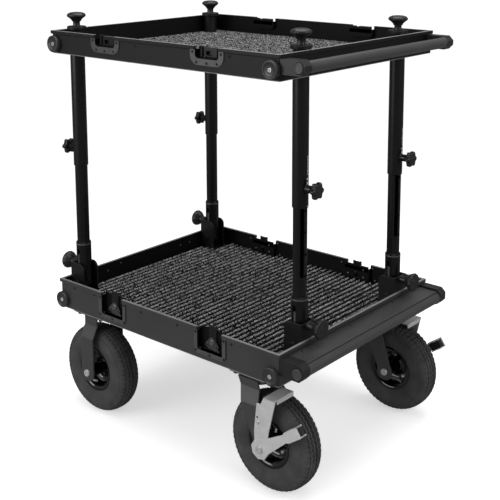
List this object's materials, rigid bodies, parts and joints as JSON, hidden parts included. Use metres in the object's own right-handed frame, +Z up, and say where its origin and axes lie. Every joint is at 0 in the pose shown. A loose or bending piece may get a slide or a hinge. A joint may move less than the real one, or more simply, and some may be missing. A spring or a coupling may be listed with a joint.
{
  "type": "camera cart",
  "caption": "Folding two-deck equipment cart with carpeted trays, telescopic posts, push handles, fixed rear wheels and braked swivel front wheels.",
  "frame": {"origin": "on the floor, under the middle of the cart's whole outline", "axes": "+X towards the push handles, +Y across to the far long side, +Z up"},
  "size_m": [0.9048, 0.6798, 1.1323],
  "materials": {
    "black_anodised_rail": "satin black powder coat on folded aluminium rails",
    "black_deck_sheet": "satin black powder coat",
    "black_handle": "satin black anodised",
    "ribbed_carpet": "ribbed needle-felt carpet, black with grey flecks",
    "flat_carpet": "loop carpet, black with grey flecks",
    "black_steel": "black powder-coated steel",
    "caster_steel": "black powder-coated steel with a fine orange peel",
    "black_inner_tube": "semi-gloss black anodised",
    "black_outer_tube": "satin black anodised",
    "knob_plastic": "moulded black plastic, fine grain",
    "latch_black": "semi-gloss black lacquered latch steel",
    "zinc": "bright zinc plate",
    "gloss_rim": "gloss black enamel",
    "tyre_rubber": "matte black rubber with ribbed tread"
  },
  "bodies": {
    "chassis": {"lower_frame": "black_anodised_rail", "lower_deck": "black_deck_sheet", "lower_carpet": "ribbed_carpet", "lower_handle": "black_handle", "step_plate": "black_handle", "hinge_bracket_rear_near": "black_steel", "hinge_bracket_rear_far": "black_steel", "hinge_bracket_front_near": "black_steel", "hinge_bracket_front_far": "black_steel", "caster_plate_near": "caster_steel", "rear_fork_near": "caster_steel", "rear_axle_near": "zinc", "caster_plate_far": "caster_steel", "rear_fork_far": "caster_steel", "rear_axle_far": "zinc"},
    "upper_tray": {"upper_frame": "black_anodised_rail", "upper_deck": "black_deck_sheet", "upper_carpet": "flat_carpet", "upper_handle": "black_handle"},
    "post_foot_rear_near": {"inner_post_rear_near": "black_inner_tube"},
    "post_head_rear_near": {"outer_post_rear_near": "black_outer_tube"},
    "post_foot_rear_far": {"inner_post_rear_far": "black_inner_tube"},
    "post_head_rear_far": {"outer_post_rear_far": "black_outer_tube"},
    "post_foot_front_near": {"inner_post_front_near": "black_inner_tube"},
    "post_head_front_near": {"outer_post_front_near": "black_outer_tube"},
    "post_foot_front_far": {"inner_post_front_far": "black_inner_tube"},
    "post_head_front_far": {"outer_post_front_far": "black_outer_tube"},
    "base_knob_rear_near": {"base_knob_rear_near": "knob_plastic"},
    "height_knob_rear_near": {"height_knob_rear_near": "knob_plastic"},
    "tray_knob_rear_near": {"tray_knob_rear_near": "knob_plastic"},
    "base_knob_rear_far": {"base_knob_rear_far": "knob_plastic"},
    "height_knob_rear_far": {"height_knob_rear_far": "knob_plastic"},
    "tray_knob_rear_far": {"tray_knob_rear_far": "knob_plastic"},
    "base_knob_front_near": {"base_knob_front_near": "knob_plastic"},
    "height_knob_front_near": {"height_knob_front_near": "knob_plastic"},
    "tray_knob_front_near": {"tray_knob_front_near": "knob_plastic"},
    "base_knob_front_far": {"base_knob_front_far": "knob_plastic"},
    "height_knob_front_far": {"height_knob_front_far": "knob_plastic"},
    "tray_knob_front_far": {"tray_knob_front_far": "knob_plastic"},
    "caster_near": {"swivel_fork_near": "caster_steel", "front_axle_near": "zinc", "brake_bracket_near": "zinc"},
    "front_wheel_near": {"front_rim_near": "gloss_rim", "front_tyre_near": "tyre_rubber"},
    "rear_wheel_near": {"rear_rim_near": "gloss_rim", "rear_tyre_near": "tyre_rubber"},
    "brake_pedal_near": {"brake_pedal_near": "zinc"},
    "caster_far": {"swivel_fork_far": "caster_steel", "front_axle_far": "zinc", "brake_bracket_far": "zinc"},
    "front_wheel_far": {"front_rim_far": "gloss_rim", "front_tyre_far": "tyre_rubber"},
    "rear_wheel_far": {"rear_rim_far": "gloss_rim", "rear_tyre_far": "tyre_rubber"},
    "brake_pedal_far": {"brake_pedal_far": "zinc"},
    "latch_key_rear_near": {"latch_key_rear_near": "latch_black"},
    "latch_key_rear_far": {"latch_key_rear_far": "latch_black"},
    "latch_key_front_near": {"latch_key_front_near": "latch_black"},
    "latch_key_front_far": {"latch_key_front_far": "latch_black"}
  },
  "joints": [
    {"name": "tray_height", "type": "slide", "parent": "chassis", "child": "upper_tray", "axis": [0, 0, 1], "range_m": [-0.216, 0]},
    {"name": "fold_rear_near", "type": "hinge", "parent": "chassis", "child": "post_foot_rear_near", "pos_m": [-0.3806, -0.268, 0.365], "axis": [0, 1, 0], "range_deg": [0, 90]},
    {"name": "extend_rear_near", "type": "slide", "parent": "post_foot_rear_near", "child": "post_head_rear_near", "axis": [0, 0, 1], "range_m": [-0.216, 0]},
    {"name": "turn_base_knob_rear_near", "type": "hinge", "parent": "chassis", "child": "base_knob_rear_near", "pos_m": [-0.3806, -0.268, 0.412], "axis": [1, 0, 0], "continuous": true},
    {"name": "turn_height_knob_rear_near", "type": "hinge", "parent": "post_head_rear_near", "child": "height_knob_rear_near", "pos_m": [-0.3806, -0.268, 0.752], "axis": [1, 0, 0], "continuous": true},
    {"name": "turn_tray_knob_rear_near", "type": "hinge", "parent": "upper_tray", "child": "tray_knob_rear_near", "pos_m": [-0.3806, -0.268, 1.11], "axis": [0, 0, 1], "continuous": true},
    {"name": "fold_rear_far", "type": "hinge", "parent": "chassis", "child": "post_foot_rear_far", "pos_m": [-0.3806, 0.268, 0.365], "axis": [0, 1, 0], "range_deg": [0, 90]},
    {"name": "extend_rear_far", "type": "slide", "parent": "post_foot_rear_far", "child": "post_head_rear_far", "axis": [0, 0, 1], "range_m": [-0.216, 0]},
    {"name": "turn_base_knob_rear_far", "type": "hinge", "parent": "chassis", "child": "base_knob_rear_far", "pos_m": [-0.3806, 0.268, 0.412], "axis": [1, 0, 0], "continuous": true},
    {"name": "turn_height_knob_rear_far", "type": "hinge", "parent": "post_head_rear_far", "child": "height_knob_rear_far", "pos_m": [-0.3806, 0.268, 0.752], "axis": [1, 0, 0], "continuous": true},
    {"name": "turn_tray_knob_rear_far", "type": "hinge", "parent": "upper_tray", "child": "tray_knob_rear_far", "pos_m": [-0.3806, 0.268, 1.11], "axis": [0, 0, 1], "continuous": true},
    {"name": "fold_front_near", "type": "hinge", "parent": "chassis", "child": "post_foot_front_near", "pos_m": [0.3494, -0.208, 0.365], "axis": [0, -1, 0], "range_deg": [0, 90]},
    {"name": "extend_front_near", "type": "slide", "parent": "post_foot_front_near", "child": "post_head_front_near", "axis": [0, 0, 1], "range_m": [-0.216, 0]},
    {"name": "turn_base_knob_front_near", "type": "hinge", "parent": "chassis", "child": "base_knob_front_near", "pos_m": [0.3494, -0.208, 0.412], "axis": [1, 0, 0], "continuous": true},
    {"name": "turn_height_knob_front_near", "type": "hinge", "parent": "post_head_front_near", "child": "height_knob_front_near", "pos_m": [0.3494, -0.208, 0.752], "axis": [1, 0, 0], "continuous": true},
    {"name": "turn_tray_knob_front_near", "type": "hinge", "parent": "upper_tray", "child": "tray_knob_front_near", "pos_m": [0.3494, -0.208, 1.11], "axis": [0, 0, 1], "continuous": true},
    {"name": "fold_front_far", "type": "hinge", "parent": "chassis", "child": "post_foot_front_far", "pos_m": [0.3494, 0.208, 0.365], "axis": [0, -1, 0], "range_deg": [0, 90]},
    {"name": "extend_front_far", "type": "slide", "parent": "post_foot_front_far", "child": "post_head_front_far", "axis": [0, 0, 1], "range_m": [-0.216, 0]},
    {"name": "turn_base_knob_front_far", "type": "hinge", "parent": "chassis", "child": "base_knob_front_far", "pos_m": [0.3494, 0.208, 0.412], "axis": [1, 0, 0], "continuous": true},
    {"name": "turn_height_knob_front_far", "type": "hinge", "parent": "post_head_front_far", "child": "height_knob_front_far", "pos_m": [0.3494, 0.208, 0.752], "axis": [1, 0, 0], "continuous": true},
    {"name": "turn_tray_knob_front_far", "type": "hinge", "parent": "upper_tray", "child": "tray_knob_front_far", "pos_m": [0.3494, 0.208, 1.11], "axis": [0, 0, 1], "continuous": true},
    {"name": "swivel_near", "type": "hinge", "parent": "chassis", "child": "caster_near", "pos_m": [0.2754, -0.27, 0.284], "axis": [0, 0, 1], "continuous": true},
    {"name": "roll_front_near", "type": "hinge", "parent": "caster_near", "child": "front_wheel_near", "pos_m": [0.3274, -0.27, 0.125], "axis": [0, 1, 0], "continuous": true},
    {"name": "roll_rear_near", "type": "hinge", "parent": "chassis", "child": "rear_wheel_near", "pos_m": [-0.3106, -0.27, 0.125], "axis": [0, 1, 0], "continuous": true},
    {"name": "brake_near", "type": "hinge", "parent": "caster_near", "child": "brake_pedal_near", "pos_m": [0.3274, -0.27, 0.125], "axis": [0, 1, 0], "range_deg": [0, 20]},
    {"name": "swivel_far", "type": "hinge", "parent": "chassis", "child": "caster_far", "pos_m": [0.2754, 0.27, 0.284], "axis": [0, 0, 1], "continuous": true},
    {"name": "roll_front_far", "type": "hinge", "parent": "caster_far", "child": "front_wheel_far", "pos_m": [0.3274, 0.27, 0.125], "axis": [0, 1, 0], "continuous": true},
    {"name": "roll_rear_far", "type": "hinge", "parent": "chassis", "child": "rear_wheel_far", "pos_m": [-0.3106, 0.27, 0.125], "axis": [0, 1, 0], "continuous": true},
    {"name": "brake_far", "type": "hinge", "parent": "caster_far", "child": "brake_pedal_far", "pos_m": [0.3274, 0.27, 0.125], "axis": [0, 1, 0], "range_deg": [0, 20]},
    {"name": "turn_latch_rear_near", "type": "hinge", "parent": "chassis", "child": "latch_key_rear_near", "pos_m": [-0.1996, -0.318, 0.345], "axis": [0, 1, 0], "range_deg": [0, 180]},
    {"name": "turn_latch_rear_far", "type": "hinge", "parent": "chassis", "child": "latch_key_rear_far", "pos_m": [-0.1996, 0.318, 0.345], "axis": [0, 1, 0], "range_deg": [0, 180]},
    {"name": "turn_latch_front_near", "type": "hinge", "parent": "chassis", "child": "latch_key_front_near", "pos_m": [0.1604, -0.318, 0.345], "axis": [0, 1, 0], "range_deg": [0, 180]},
    {"name": "turn_latch_front_far", "type": "hinge", "parent": "chassis", "child": "latch_key_front_far", "pos_m": [0.1604, 0.318, 0.345], "axis": [0, 1, 0], "range_deg": [0, 180]}
  ],
  "couplings": [
    {"joint": "extend_rear_near", "follows": "tray_height", "ratio": 1},
    {"joint": "extend_rear_far", "follows": "tray_height", "ratio": 1},
    {"joint": "extend_front_near", "follows": "tray_height", "ratio": 1},
    {"joint": "extend_front_far", "follows": "tray_height", "ratio": 1}
  ]
}
